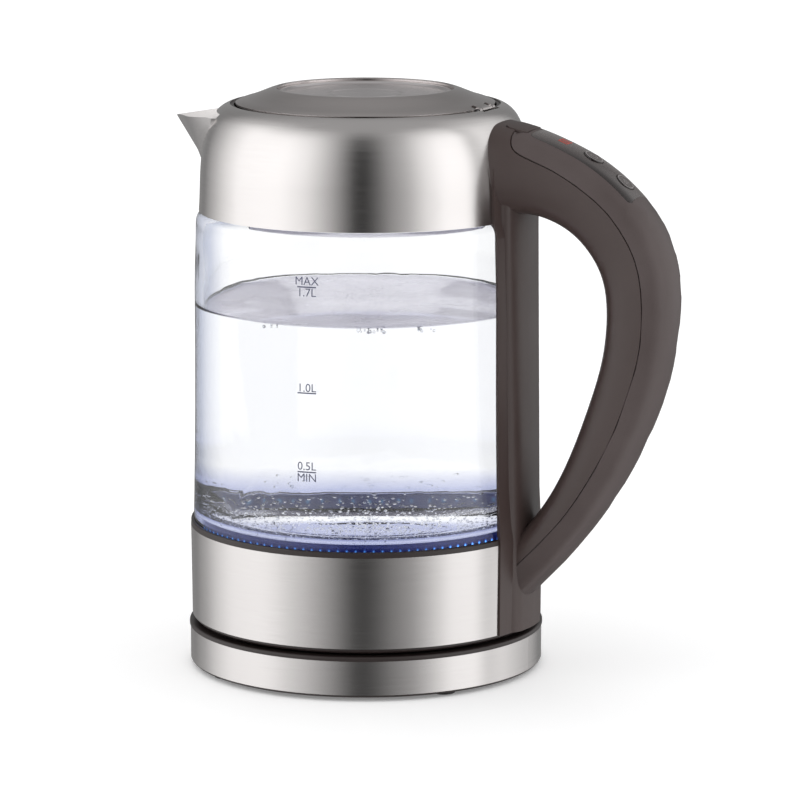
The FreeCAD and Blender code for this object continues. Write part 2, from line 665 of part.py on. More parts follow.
def spine_form():
    """Spine that runs down the jug under the grip, before the grip is let into it."""
    flange = spin(straight((60.0, 22.4), (77.9, 22.4), (78.2, 63.0), (77.6, 70.0), (76.9, 85.0),
                           (76.4, 120.0), (76.1, 160.0), (75.5, 196.0), (74.0, 203.5),
                           (73.3, 226.0), (60.0, 226.0), (60.0, 22.4)), 35.0, -17.5)
    sections = []
    for z, front in ((22.4, 80.2), (100.0, 79.5), (226.0, 78.2)):
        points = [Vector(x, y, z) for x, y in
                  ((68.0, -16.6), (75.0, -16.2), (front - 2.0, -13.0), (front - 0.5, -6.5),
                   (front, 0.0))]
        points += [Vector(p.x, -p.y, p.z) for p in reversed(points[:-1])]
        curve = Part.BSplineCurve()
        curve.interpolate(points)
        sections.append(Part.Wire([curve.toShape(), Part.makeLine(points[-1], points[0])]))
    body = Part.makeLoft(sections, True, False)
    return body.fuse(flange).cut(jug_envelope())


def frame_at(point, normal, height):
    """Cylinder axis data: a point `height` above a surface point along its normal."""
    return Vector(point[0] + normal.x * height, 0, point[1] + normal.z * height)


def panel_normal(point):
    """Outward direction of the handle's top at a button."""
    tilt = {POWER_BUTTON: 61.5, MODE_BUTTON: 50.0}[point]
    return Vector(math.cos(math.radians(tilt)), 0, math.sin(math.radians(tilt)))


def button_hole(point):
    normal = panel_normal(point)
    return Part.makeCylinder(BUTTON_R + BUTTON_GAP, 10.0, frame_at(point, normal, -5.0), normal)


def panel_prism(gap=0.0):
    prism = block((PANEL_FROM_X - gap, -PANEL_HALF - gap, 200),
                  (PANEL_TO_X + gap, PANEL_HALF + gap, 260))
    return soften(prism, 2.5, lambda e: e.BoundBox.ZLength > 50)


def panel_pocket():
    return grip_form(-1.0).cut(grip_form(PANEL_THICK)).common(panel_prism(0.1))


def tilted_box(centre, tilt, length, half_width, low, high):
    """Box whose own up direction leans `tilt` degrees from +X towards +Z."""
    box = block((-length / 2, -half_width, low), (length / 2, half_width, high))
    box.rotate(Vector(0, 0, 0), Vector(0, 1, 0), 90.0 - tilt)
    box.translate(Vector(centre[0], 0, centre[1]))
    return box


def display_box(gap=0.0):
    return tilted_box((93.5, 236.0), 70.0, 13.0 + 2 * gap, 7.5 + gap, -4.6, -2.1 + gap)


def grip_shell():
    return grip_form(0.0).cut(grip_form(WALL)).cut(jug_envelope())


def lid_button_hole():
    hole = block((LID_BUTTON_FROM_X - 0.4, -LID_BUTTON_HALF - 0.4, 234),
                 (LID_BUTTON_TO_X + 0.4, LID_BUTTON_HALF + 0.4, 255))
    return soften(hole, 2.0, lambda e: e.BoundBox.ZLength > 20)


def latch_path():
    return block((50, -4.8, LATCH_Z - 0.4), (90, 4.8, LATCH_Z + LATCH_THICK + 0.4))


def handle_inner(shell):
    inner = shell.cut(seam_side(0.0)).cut(lid_button_hole()).cut(latch_path())
    for side in (-1, 1):
        boss = Part.makeCylinder(3.4, 17.0, Vector(60.0, side * UPPER_SCREW_Y, UPPER_SCREW_Z),
                                 Vector(1, 0, 0)).cut(jug_envelope())
        web = block((66.0, side * UPPER_SCREW_Y - 1.0, UPPER_SCREW_Z),
                    (77.0, side * UPPER_SCREW_Y + 1.0, UPPER_SCREW_Z + 12.0))
        web = web.common(grip_form(0.5)).cut(jug_envelope())
        inner = inner.fuse([boss, web]).cut(upper_screw_hole(side))
    return max(inner.Solids, key=lambda s: s.Volume)


def handle_outer(shell):
    groove = grip_form(0.0).cut(grip_form(SEAM_DEPTH)).cut(seam_side(SEAM_GROOVE))
    outer = shell.common(seam_side(0.0)).cut(groove)
    outer = outer.cut(panel_pocket()).cut(display_box(0.2)).cut(lid_button_hole())
    for point in (POWER_BUTTON, MODE_BUTTON):
        outer = outer.cut(button_hole(point))
    return max(outer.Solids, key=lambda s: s.Volume)


def upper_screw_hole(side):
    start = Vector(60.0, side * UPPER_SCREW_Y, UPPER_SCREW_Z)
    return Part.makeCylinder(1.6, 16.0, start, Vector(1, 0, 0))


def lower_screw_hole():
    return Part.makeCylinder(1.6, 9.0, Vector(70.0, 0, LOWER_SCREW_Z), Vector(1, 0, 0))


def handle_spine():
    spine = spine_form().cut(grip_form(0.0)).cut(lower_screw_hole())
    return max(spine.Solids, key=lambda s: s.Volume)


def control_panel():
    lens = grip_form(0.0).cut(grip_form(PANEL_THICK)).common(panel_prism())
    lens = lens.common(block((60, -30, 205), (140, 30, 260)))
    for point in (POWER_BUTTON, MODE_BUTTON):
        lens = lens.cut(button_hole(point))
    return max(lens.Solids, key=lambda s: s.Volume)


def panel_button(point):
    """Round key that stands just proud of the panel."""
    normal = panel_normal(point)
    key = Part.makeCylinder(BUTTON_R, 3.9, frame_at(point, normal, -3.4), normal)
    return soften(key, 0.35, lambda e: (e.CenterOfMass - frame_at(point, normal, 0.5)).Length < 0.5)


def power_button():
    return panel_button(POWER_BUTTON)


def mode_button():
    return panel_button(MODE_BUTTON)


def display_module():
    return display_box()


def control_board():
    """Circuit board under the panel, with one switch below each key."""
    tilt = 60.5
    board = tilted_box((105.5, 222.8), tilt, 40.0, 9.0, -1.2, 0.0)
    switches = []
    for point in (POWER_BUTTON, MODE_BUTTON):
        normal = panel_normal(point)
        foot = frame_at(point, normal, -4.5)
        switches.append(Part.makeCylinder(1.4, 0.4, foot, normal))
        body = Part.makeCylinder(2.6, 5.6, frame_at(point, normal, -10.0), normal)
        above = tilted_box((105.5, 222.8), tilt, 40.0, 9.0, -0.2, 9.0)
        switches.append(body.common(above))
    return join([board] + switches)


def lid_button():
    cap = grip_form(-0.4).common(block((LID_BUTTON_FROM_X, -LID_BUTTON_HALF, 239.0),
                                       (LID_BUTTON_TO_X, LID_BUTTON_HALF, 255)))
    cap = cap.cut(jug_envelope())
    cap = cap.common(soften(block((LID_BUTTON_FROM_X, -LID_BUTTON_HALF, 238),
                                  (LID_BUTTON_TO_X, LID_BUTTON_HALF, 256)), 1.8,
                            lambda e: e.BoundBox.ZLength > 15))
    stem = block((73.2, -2.8, 234.2), (76.4, 2.8, 240.0))
    return join([max(cap.Solids, key=lambda s: s.Volume), stem])


def lid_button_spring():
    """Return spring beside the stem, drawn at its pressed length."""
    coil = Part.makeHelix(1.1, 3.3, 1.6)
    wire = Part.Wire(Part.makeCircle(0.3, Vector(1.6, 0, 0), Vector(0, 1, 0)))
    spring = Part.Wire(coil).makePipeShell([wire], True, True)
    spring.translate(Vector(74.8, 6.3, LATCH_Z + 4.0))
    return spring


def lid_latch():
    bar = block((55.8, -4.0, LATCH_Z), (81.0, 4.0, LATCH_Z + LATCH_THICK))
    nose = slab(((50, LATCH_Z - 1), (57.6, LATCH_Z - 1), (55.4, LATCH_Z + 3.4), (50, LATCH_Z + 4)), 6)
    ramp = slab(((77.2, LATCH_Z + LATCH_THICK), (81.0, LATCH_Z + LATCH_THICK),
                 (81.0, LATCH_Z + 7.0), (79.6, LATCH_Z + 7.0)), 4.0)
    return join([bar.cut(nose), ramp])


def handle_screws():
    """Screws that pull the handle onto the jug from inside its two steel collars."""
    along = Vector(1, 0, 0)
    places = [(65.2, side * UPPER_SCREW_Y, UPPER_SCREW_Z, 9.2) for side in (-1, 1)]
    places.append((74.4, 0.0, LOWER_SCREW_Z, 2.8))
    screws = []
    for x, y, z, length in places:
        head = Part.makeCylinder(2.6, 1.6, Vector(x, y, z), along)
        shank = Part.makeCylinder(1.6, length, Vector(x + 1.6, y, z), along)
        screws.append(head.fuse(shank))
    return Part.makeCompound(screws)


def wiring_loom():
    """Cable from the control board down inside the grip to the power board."""
    path = Part.BSplineCurve()
    path.interpolate([Vector(119.0, 0, 206.0), Vector(127.0, 0, 190.0), Vector(130.0, 0, 165.0),
                      Vector(127.0, 0, 140.0), Vector(119.0, 0, 115.0), Vector(106.0, 0, 90.0),
                      Vector(93.0, 0, 69.0), Vector(86.0, 0, 60.0)])
    start = path.value(path.FirstParameter)
    heading = path.tangent(path.FirstParameter)[0]
    profile = Part.Wire(Part.makeCircle(2.0, start, heading))
    return Part.Wire(path.toShape()).makePipeShell([profile], True, False)


# ---- output ------------------------------------------------------------------------------
def pieces():
    """Every piece with its node name."""
    shell = grip_shell()
    yield "base_bottom_cover", base_bottom_cover()
    yield "base_skirt_ring", base_skirt_ring()
    yield "base_top_shell", base_top_shell()
    yield "base_screws", base_screws()
    yield "base_feet", base_feet()
    yield "cord_gland", cord_gland()
    yield "base_connector", base_connector()
    yield "base_contacts", base_contacts()
    yield "kettle_connector", kettle_connector()
    yield "kettle_contacts", kettle_contacts()
    yield "underside_cover", underside_cover()
    yield "underside_screws", underside_screws()
    yield "lower_collar", lower_collar()
    yield "collar_trim_ring", collar_trim_ring()
    yield "glass_body", glass_body()
    yield "lower_gasket", lower_gasket()
    yield "heater_plate", heater_plate()
    yield "led_ring", led_ring()
    yield "heat_spreader", heat_spreader()
    yield "heating_element", heating_element()
    yield "temperature_sensor", temperature_sensor()
    yield "power_board", power_board()
    yield "upper_collar", upper_collar()
    yield "upper_gasket", upper_gasket()
    yield "neck_ring", neck_ring()
    yield "spout", spout()
    yield "filter_frame", filter_frame()
    yield "filter_mesh", filter_mesh()
    yield "lid_hinge_bracket", lid_hinge_bracket()
    yield "lid_outer_shell", lid_outer_shell()
    yield "lid_top_disc", lid_top_disc()
    yield "lid_inner_cover", lid_inner_cover()
    yield "lid_gasket", lid_gasket()
    yield "lid_hinge_pin", lid_hinge_pin()
    yield "handle_spine", handle_spine()
    yield "handle_inner", handle_inner(shell)
    yield "handle_outer", handle_outer(shell)
    yield "control_panel", control_panel()
    yield "display_module", display_module()
    yield "power_button", power_button()
    yield "mode_button", mode_button()
    yield "control_board", control_board()
    yield "lid_button", lid_button()
    yield "lid_button_spring", lid_button_spring()
    yield "lid_latch", lid_latch()
    yield "handle_screws", handle_screws()
    yield "wiring_loom", wiring_loom()


def main():
    os.makedirs("parts", exist_ok=True)
    for name, shape in pieces():
        shape.exportStep("parts/" + name + ".step")
        box = shape.BoundBox
        print("%-20s solids %2d valid %s volume %9.0f  x %7.1f %7.1f  y %7.1f %7.1f  z %6.1f %6.1f"
              % (name, len(shape.Solids), shape.isValid(), shape.Volume, box.XMin, box.XMax,
                 box.YMin, box.YMax, box.ZMin, box.ZMax))


main()
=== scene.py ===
"""Looks of the glass kettle: camera, studio light, materials, water and printed marks.

Metres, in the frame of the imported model: +Z up, handle along +X, spout along -X.
"""
import json
import math
import random

import bmesh
import bpy
from mathutils import Matrix, Vector
from mathutils.bvhtree import BVHTree


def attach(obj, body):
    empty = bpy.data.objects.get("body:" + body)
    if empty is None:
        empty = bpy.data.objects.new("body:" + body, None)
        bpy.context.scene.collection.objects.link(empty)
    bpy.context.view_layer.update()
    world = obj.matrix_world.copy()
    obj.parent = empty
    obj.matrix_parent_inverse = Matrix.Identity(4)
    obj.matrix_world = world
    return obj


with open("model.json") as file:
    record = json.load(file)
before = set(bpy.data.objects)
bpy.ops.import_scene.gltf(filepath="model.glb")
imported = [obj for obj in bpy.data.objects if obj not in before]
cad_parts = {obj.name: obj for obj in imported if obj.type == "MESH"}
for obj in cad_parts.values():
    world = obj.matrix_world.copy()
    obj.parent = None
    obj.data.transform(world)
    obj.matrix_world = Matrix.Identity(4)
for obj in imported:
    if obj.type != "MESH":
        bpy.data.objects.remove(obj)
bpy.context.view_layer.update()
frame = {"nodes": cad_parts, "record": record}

# ---- view --------------------------------------------------------------------------------
VIEW_AZIMUTH = math.radians(24.0)
VIEW_PITCH = math.radians(10.5)
VIEW_DISTANCE = 1.870
VIEW_HEIGHT = 0.4636
VIEW_SIDE = 0.0151
LENS_MM = 36.0 * 4310.0 / 800.0

# ---- sizes of what is added here ------------------------------------------------------------
WATER_TOP = 0.1606
WATER_OVERLAP = 0.00015      # the water reaches this far into the glass, so no air film shows
FLOOR_TOP = 0.0605
WATER_FOOT_R = 0.0690        # inside the light ring, whose top is at RING_TOP
RING_TOP = 0.0674
RIM_BUBBLES = ((-64, 5, 14), (-44, 3, 8), (-100, 4, 4), (60, 40, 10))  # angle, spread, count
FLOOR_BUBBLES = 1500         # tries; those over the pale middle of the floor are left out
WALL_BUBBLES = 220
DISPLAY_X = 0.0935           # middle of the lit readout along the handle
GLASS_PAINTED_GLOW_TOP = 0.0780       # the painted blue ring light in the glass starts here and is full lower down
GLASS_PAINTED_GLOW_FULL = 0.0670
LAMP_COUNT = 120.0
LAMP_HEIGHT = 0.0640
LAMP_INNER_R = 0.0700        # the light guide shines outward only, past this radius
LAMP_BRIGHT_ANGLE = math.radians(-27.0)
MARK_ANGLE = math.radians(-85.0)
MARK_LIFT = 0.00012
MARK_SIZE = 0.0035
MARKS = (("MAX", 0.1810), ("1.7L", 0.1761), ("1.0L", 0.1352), ("0.5L", 0.1014), ("MIN", 0.0964))
MARK_LINES = (0.1786, 0.1331, 0.0990)


# ---- studio, by direction round the kettle: degrees to the right of the camera, level ------------
STUDIO_LEVELS = ((-180, 0.20), (-148, 0.16), (-128, 0.42), (-114, 0.68), (-98, 0.95), (-60, 1.0),
                 (-42, 0.84), (-27, 0.50), (-14, 0.18), (-7, 0.035), (0, 0.02), (8, 0.10),
                 (18, 0.27), (30, 0.43), (43, 0.76), (58, 1.0), (76, 1.0), (86, 0.5),
                 (100, 0.75), (135, 0.5), (155, 0.16), (180, 0.20))
STUDIO_LOW_LEVELS = ((-180, 0.20), (-152, 0.20), (-132, 0.20), (-117, 0.42), (-105, 0.54),
                     (-95, 0.60), (-77, 0.64), (-69, 0.58), (-61, 0.40), (-53, 0.24),
                     (-46, 0.15), (-39, 0.11), (-30, 0.085), (0, 0.065), (20, 0.065),
                     (29, 0.08), (36, 0.11), (43, 0.18), (50, 0.32), (58, 0.56), (74, 0.64),
                     (91, 0.62), (101, 0.55), (112, 0.42), (126, 0.28), (143, 0.12),
                     (160, 0.14), (180, 0.20))
STUDIO_LOW_HEIGHTS = (-0.215, -0.275)    # from the side levels over to the low ones
STUDIO_TOP_HEIGHTS = (0.50, 0.90)        # from the side levels over to the top's
STUDIO_TOP = 0.28
STUDIO_STRENGTH = 1.38
PLAIN_STRENGTH = 1.08

AWAY_FROM_CAMERA = VIEW_AZIMUTH + math.pi / 2    # as an angle about Z
TO_CAMERA = Vector((math.sin(VIEW_AZIMUTH), -math.cos(VIEW_AZIMUTH), 0.0))
RIGHT = Vector((math.cos(VIEW_AZIMUTH), math.sin(VIEW_AZIMUTH), 0.0))


# ---- camera, floor and light -----------------------------------------------------------------
def make_camera():
    data = bpy.data.cameras.new("camera")
    data.lens = LENS_MM
    data.sensor_width = 36.0
    data.clip_end = 50.0
    camera = bpy.data.objects.new("camera", data)
    bpy.context.scene.collection.objects.link(camera)
    place = RIGHT * VIEW_SIDE + TO_CAMERA * VIEW_DISTANCE + Vector((0, 0, VIEW_HEIGHT))
    turn = (Matrix.Rotation(VIEW_AZIMUTH, 4, "Z")
            @ Matrix.Rotation(math.radians(90.0) - VIEW_PITCH, 4, "X"))
    camera.matrix_world = Matrix.Translation(place) @ turn
    bpy.context.scene.camera = camera


def make_floor():
    mesh = bpy.data.meshes.new("floor")
    reach = 6.0
    corners = [(-reach, -reach, 0), (reach, -reach, 0), (reach, reach, 0), (-reach, reach, 0)]
    mesh.from_pydata(corners, [], [(0, 1, 2, 3)])
    floor = bpy.data.objects.new("floor", mesh)
    bpy.context.scene.collection.objects.link(floor)
    floor.location.z = -0.0002
    material, tree, shader = new_material("pale_floor")
    paper = noise_node(tree, place_vector(tree), 3.0, 2.0)
    tree.links.new(colour_ramp(tree, paper, (0.925, 0.925, 0.93), (0.935, 0.935, 0.935)),
                   shader.inputs["Base Color"])
    shader.inputs["Emission Color"].default_value = (1, 1, 1, 1)
    shader.inputs["Emission Strength"].default_value = 0.18
    shader.inputs["Roughness"].default_value = 0.9
    shader.inputs["Specular IOR Level"].default_value = 0.1
    mesh.materials.append(material)
    floor.visible_glossy = False
    floor.visible_transmission = False
    floor.visible_shadow = False


def make_world():
    """Soft studio seen only in reflections, all round the camera's own direction.

    The bright panels stand at both sides, with a dark gap at the camera, dark behind, and a
    wider dark patch low down.  What the camera sees past the kettle is plain white.
    """
    world = bpy.data.worlds.new("studio")
    bpy.context.scene.world = world
    world.use_nodes = True
    tree = world.node_tree
    tree.nodes.clear()
    output = tree.nodes.new("ShaderNodeOutputWorld")
    turn = tree.nodes.new("ShaderNodeVectorRotate")
    turn.rotation_type = "Z_AXIS"
    turn.inputs["Angle"].default_value = math.radians(90.0) - VIEW_AZIMUTH
    coordinate = tree.nodes.new("ShaderNodeTexCoord")
    tree.links.new(coordinate.outputs["Generated"], turn.inputs["Vector"])
    split = tree.nodes.new("ShaderNodeSeparateXYZ")
    tree.links.new(turn.outputs["Vector"], split.inputs["Vector"])
    angle = math_node(tree, "ARCTAN2", split.outputs["Y"], split.outputs["X"])
    share = math_node(tree, "MULTIPLY_ADD", angle, 0.5 / math.pi, 0.5)
    level = ramp(tree, share, studio_stops(STUDIO_LEVELS))
    low = ramp(tree, share, studio_stops(STUDIO_LOW_LEVELS))
    height = split.outputs["Z"]
    mixed = blend(tree, step_between(tree, height, *STUDIO_LOW_HEIGHTS), level, low)
    mixed = blend(tree, step_between(tree, height, *STUDIO_TOP_HEIGHTS), mixed, STUDIO_TOP)
    studio = tree.nodes.new("ShaderNodeBackground")
    tree.links.new(mixed, studio.inputs["Color"])
    studio.inputs["Strength"].default_value = STUDIO_STRENGTH
    plain = tree.nodes.new("ShaderNodeBackground")
    plain.inputs["Color"].default_value = (1, 1, 1, 1)
    plain.inputs["Strength"].default_value = PLAIN_STRENGTH
    path = tree.nodes.new("ShaderNodeLightPath")
    seen = math_node(tree, "MAXIMUM", path.outputs["Is Camera Ray"],
                     path.outputs["Is Transmission Ray"])
    seen = math_node(tree, "MAXIMUM", seen, path.outputs["Is Diffuse Ray"])
    choose = tree.nodes.new("ShaderNodeMixShader")
    tree.links.new(seen, choose.inputs[0])
    tree.links.new(studio.outputs[0], choose.inputs[1])
    tree.links.new(plain.outputs[0], choose.inputs[2])
    tree.links.new(choose.outputs[0], output.inputs["Surface"])


def studio_stops(levels):
    """Ramp stops from (degrees clockwise from the camera's direction, level) pairs."""
    return tuple(((degrees + 180.0) / 360.0, level) for degrees, level in levels)


def step_between(tree, value, start, end):
    node = tree.nodes.new("ShaderNodeMapRange")
    node.inputs["From Min"].default_value = start
    node.inputs["From Max"].default_value = end
    tree.links.new(value, node.inputs["Value"])
    return node.outputs[0]


def blend(tree, amount, first, second):
    """Mix of two colours, where the second may be a plain grey level or colour."""
    node = tree.nodes.new("ShaderNodeMix")
    node.data_type = "RGBA"
    tree.links.new(amount, node.inputs[0])
    tree.links.new(first, node.inputs[6])
    if isinstance(second, (int, float)):
        node.inputs[7].default_value = (second, second, second, 1)
    elif isinstance(second, tuple):
        node.inputs[7].default_value = (*second, 1)
    else:
        tree.links.new(second, node.inputs[7])
    return node.outputs[2]


# ---- node helpers ------------------------------------------------------------------------------
def new_material(name):
    material = bpy.data.materials.new(name)
    material.use_nodes = True
    tree = material.node_tree
    return material, tree, tree.nodes["Principled BSDF"]


def math_node(tree, operation, first, second, third=None):
    node = tree.nodes.new("ShaderNodeMath")
    node.operation = operation
    for socket, value in zip(node.inputs, (first, second, third)):
        if value is None:
            continue
        if isinstance(value, (int, float)):
            socket.default_value = value
        else:
            tree.links.new(value, socket)
    return node.outputs[0]


def ramp(tree, value, stops):
    """Grey ramp through (position, brightness) stops."""
    node = tree.nodes.new("ShaderNodeValToRGB")
    elements = node.color_ramp.elements
    for index, (position, level) in enumerate(stops):
        element = elements[index] if index < 2 else elements.new(position)
        element.position = position
        element.color = (level, level, level, 1)
    tree.links.new(value, node.inputs["Fac"])
    return node.outputs["Color"]


def colour_ramp(tree, value, low, high, start=0.0, end=1.0):
    node = tree.nodes.new("ShaderNodeValToRGB")
    elements = node.color_ramp.elements
    elements[0].position, elements[1].position = start, end
    elements[0].color = (*low, 1)
    elements[1].color = (*high, 1)
    tree.links.new(value, node.inputs["Fac"])
    return node.outputs["Color"]


def noise_node(tree, vector, scale, detail=2.0, roughness=0.5):
    node = tree.nodes.new("ShaderNodeTexNoise")
    node.inputs["Scale"].default_value = scale
    node.inputs["Detail"].default_value = detail
    node.inputs["Roughness"].default_value = roughness
    tree.links.new(vector, node.inputs["Vector"])
    return node.outputs["Fac"]


def place_vector(tree):
    return tree.nodes.new("ShaderNodeTexCoord").outputs["Object"]


def flat_radius(tree, split):
    """Distance from the vertical axis, from separated coordinates."""
    x, y = split.outputs["X"], split.outputs["Y"]
    squares = math_node(tree, "ADD", math_node(tree, "MULTIPLY", x, x),
                        math_node(tree, "MULTIPLY", y, y))
    return math_node(tree, "SQRT", squares, None)


def turned_vector(tree, around=3.0):
    """Coordinates that follow turning marks: radius and height, with a slow drift in angle."""
    split = tree.nodes.new("ShaderNodeSeparateXYZ")
    tree.links.new(place_vector(tree), split.inputs["Vector"])
    x, z = split.outputs["X"], split.outputs["Z"]
    radius = flat_radius(tree, split)
    joined = tree.nodes.new("ShaderNodeCombineXYZ")
    tree.links.new(math_node(tree, "MULTIPLY", radius, 1000.0), joined.inputs[0])
    tree.links.new(math_node(tree, "MULTIPLY", z, 1000.0), joined.inputs[1])
    tree.links.new(math_node(tree, "MULTIPLY", x, around * 10.0), joined.inputs[2])
    return joined.outputs[0]


def bump(tree, shader, height, distance, strength=1.0):
    node = tree.nodes.new("ShaderNodeBump")
    node.inputs["Strength"].default_value = strength
    node.inputs["Distance"].default_value = distance
    tree.links.new(height, node.inputs["Height"])
    tree.links.new(node.outputs["Normal"], shader.inputs["Normal"])


# ---- materials ----------------------------------------------------------------------------------
def brushed_steel(name, dark, light, rough_low, rough_high, streak=2.2, depth=0.25):
    material, tree, shader = new_material(name)
    vector = turned_vector(tree)
    fine = noise_node(tree, vector, streak, 3.0, 0.7)
    broad = noise_node(tree, place_vector(tree), 14.0, 2.0)
    both = math_node(tree, "MULTIPLY_ADD", broad, 0.35, math_node(tree, "MULTIPLY", fine, 0.65))
    tree.links.new(colour_ramp(tree, both, dark, light, 0.3, 0.7), shader.inputs["Base Color"])
    varied_roughness(tree, shader, fine, rough_low, rough_high)
    shader.inputs["Metallic"].default_value = 1.0
    shader.inputs["Anisotropic"].default_value = 0.75
    shader.inputs["Anisotropic Rotation"].default_value = 0.25
    tangent = tree.nodes.new("ShaderNodeTangent")
    tangent.direction_type = "RADIAL"
    tangent.axis = "Z"
    tree.links.new(tangent.outputs[0], shader.inputs["Tangent"])
    bump(tree, shader, fine, 0.00002, depth)
    return material


def varied_roughness(tree, shader, value, low, high):
    node = tree.nodes.new("ShaderNodeMapRange")
    node.inputs["From Min"].default_value = 0.3
    node.inputs["From Max"].default_value = 0.7
    node.inputs["To Min"].default_value = low
    node.inputs["To Max"].default_value = high
    tree.links.new(value, node.inputs["Value"])
    tree.links.new(node.outputs[0], shader.inputs["Roughness"])


def moulded_plastic(name, dark, light, rough_low=0.34, rough_high=0.44, grain=900.0):
    material, tree, shader = new_material(name)
    vector = place_vector(tree)
    fine = noise_node(tree, vector, grain, 2.0)
    broad = noise_node(tree, vector, 30.0, 3.0)
    tree.links.new(colour_ramp(tree, broad, dark, light, 0.3, 0.7), shader.inputs["Base Color"])
    varied_roughness(tree, shader, broad, rough_low, rough_high)
    bump(tree, shader, fine, 0.00003, 0.4)
    return material


def gloss_panel():
    """Glossy black with a painted sheen: its colour pales where it is seen at a low angle."""
    material, tree, shader = new_material("gloss_panel")
    broad = noise_node(tree, place_vector(tree), 60.0, 2.0)
    black = colour_ramp(tree, broad, (0.010, 0.007, 0.007), (0.017, 0.012, 0.012))
    edge = tree.nodes.new("ShaderNodeLayerWeight")
    edge.inputs["Blend"].default_value = 0.5
    painted_sheen_amount = math_node(tree, "POWER", edge.outputs["Facing"], 3.0)
    # painted sheen: the base colour is blended toward pale brown where the panel is seen at a grazing
    # angle
    tree.links.new(blend(tree, painted_sheen_amount, black, (0.26, 0.22, 0.21)), shader.inputs["Base Color"])
    varied_roughness(tree, shader, broad, 0.06, 0.10)
    shader.inputs["Coat Weight"].default_value = 0.6
    shader.inputs["Coat Roughness"].default_value = 0.04
    return material


def clear_glass():
    """Clear glass with painted light: painted blue-grey shade where it is seen edge on, and painted
    blue light where the lit ring shines up into it.
    """
    material, tree, shader = new_material("clear_glass")
    broad = noise_node(tree, place_vector(tree), 9.0, 2.0)
    clear = colour_ramp(tree, broad, (0.985, 0.990, 0.998), (0.992, 0.996, 1.0))
    edge = tree.nodes.new("ShaderNodeLayerWeight")
    edge.inputs["Blend"].default_value = 0.5
    # painted edge shade: blue-grey is mixed into the colour where the glass is seen edge on
    rim = step_between(tree, edge.outputs["Facing"], 0.46, 0.72)
    painted_edge_shade = blend(tree, math_node(tree, "MULTIPLY", rim, 0.85), clear, (0.33, 0.38, 0.56))
    split = tree.nodes.new("ShaderNodeSeparateXYZ")
    tree.links.new(place_vector(tree), split.inputs["Vector"])
    # painted ring light: blue is mixed into the colour of the glass near the lit ring
    glow = step_between(tree, split.outputs["Z"], GLASS_PAINTED_GLOW_TOP, GLASS_PAINTED_GLOW_FULL)
    tree.links.new(blend(tree, glow, painted_edge_shade, (0.40, 0.44, 0.68)), shader.inputs["Base Color"])
    varied_roughness(tree, shader, broad, 0.0, 0.01)
    shader.inputs["Transmission Weight"].default_value = 1.0
    shader.inputs["IOR"].default_value = 1.47
    bump(tree, shader, broad, 0.0002, 0.12)
    return material


def water_material():
    material, tree, shader = new_material("water")
    ripple = noise_node(tree, place_vector(tree), 55.0, 2.0)
    tree.links.new(colour_ramp(tree, ripple, (0.970, 0.975, 0.998), (0.985, 0.99, 1.0)),
                   shader.inputs["Base Color"])
    shader.inputs["Roughness"].default_value = 0.0
    shader.inputs["Transmission Weight"].default_value = 1.0
    shader.inputs["IOR"].default_value = 1.33
    bump(tree, shader, ripple, 0.0008, 0.15)
    return material


def painted_surface_sheen_material():
    """Painted lavender sheen standing in for the reflection on the water's surface, part see-through,
    and glowing a little though it is no lamp.
    """
    material, tree, shader = new_material("painted_surface_sheen")
    ripple = noise_node(tree, place_vector(tree), 70.0, 3.0)
    tree.links.new(colour_ramp(tree, ripple, (0.56, 0.53, 0.76), (0.72, 0.69, 0.88), 0.3, 0.7),
                   shader.inputs["Base Color"])
    varied_roughness(tree, shader, ripple, 0.15, 0.3)
    # painted reflection: the sheet gives off its own lavender light
    shader.inputs["Emission Color"].default_value = (0.74, 0.71, 0.88, 1)
    shader.inputs["Emission Strength"].default_value = 0.28
    shader.inputs["Alpha"].default_value = 0.62
    return material


def bubble_material():
    material, tree, shader = new_material("bubble_air")
    ripple = noise_node(tree, place_vector(tree), 400.0, 1.0)
    tree.links.new(colour_ramp(tree, ripple, (0.93, 0.95, 1.0), (1.0, 1.0, 1.0)),
                   shader.inputs["Base Color"])
    shader.inputs["Roughness"].default_value = 0.02
    shader.inputs["Transmission Weight"].default_value = 1.0
    shader.inputs["IOR"].default_value = 1.5
    return material


def light_guide():
    """Frosted blue ring with the bright dots of the lamps behind it."""
    material, tree, shader = new_material("light_guide")
    split = tree.nodes.new("ShaderNodeSeparateXYZ")
    tree.links.new(place_vector(tree), split.inputs["Vector"])
    angle = math_node(tree, "ARCTAN2", split.outputs["Y"], split.outputs["X"])
    wave = math_node(tree, "COSINE", math_node(tree, "MULTIPLY", angle, LAMP_COUNT), None)
    dots = math_node(tree, "POWER", math_node(tree, "MULTIPLY_ADD", wave, 0.5, 0.5), 6.0)
    off_middle = math_node(tree, "ABSOLUTE", math_node(tree, "SUBTRACT", split.outputs["Z"],
                                                       LAMP_HEIGHT), None)
    dots = math_node(tree, "MULTIPLY", dots, step_between(tree, off_middle, 0.0016, 0.0004))
    turned = math_node(tree, "ABSOLUTE", math_node(tree, "SUBTRACT", angle, LAMP_BRIGHT_ANGLE),
                       None)
    patch = step_between(tree, turned, 0.32, 0.10)
    radius = flat_radius(tree, split)
    outer = step_between(tree, radius, LAMP_INNER_R, LAMP_INNER_R + 0.0006)
    blotch = noise_node(tree, place_vector(tree), 45.0, 2.0)
    glow = math_node(tree, "MULTIPLY_ADD", dots, math_node(tree, "MULTIPLY_ADD", patch, 4.0, 1.6),
                     0.12)
    glow = math_node(tree, "MULTIPLY", glow, math_node(tree, "MULTIPLY_ADD", outer, 0.9, 0.1))
    tree.links.new(colour_ramp(tree, dots, (0.05, 0.08, 0.45), (0.15, 0.62, 1.0)),
                   shader.inputs["Emission Color"])
    tree.links.new(glow, shader.inputs["Emission Strength"])
    tree.links.new(colour_ramp(tree, blotch, (0.07, 0.09, 0.28), (0.14, 0.17, 0.42)),
                   shader.inputs["Base Color"])
    shader.inputs["Roughness"].default_value = 0.35
    return material


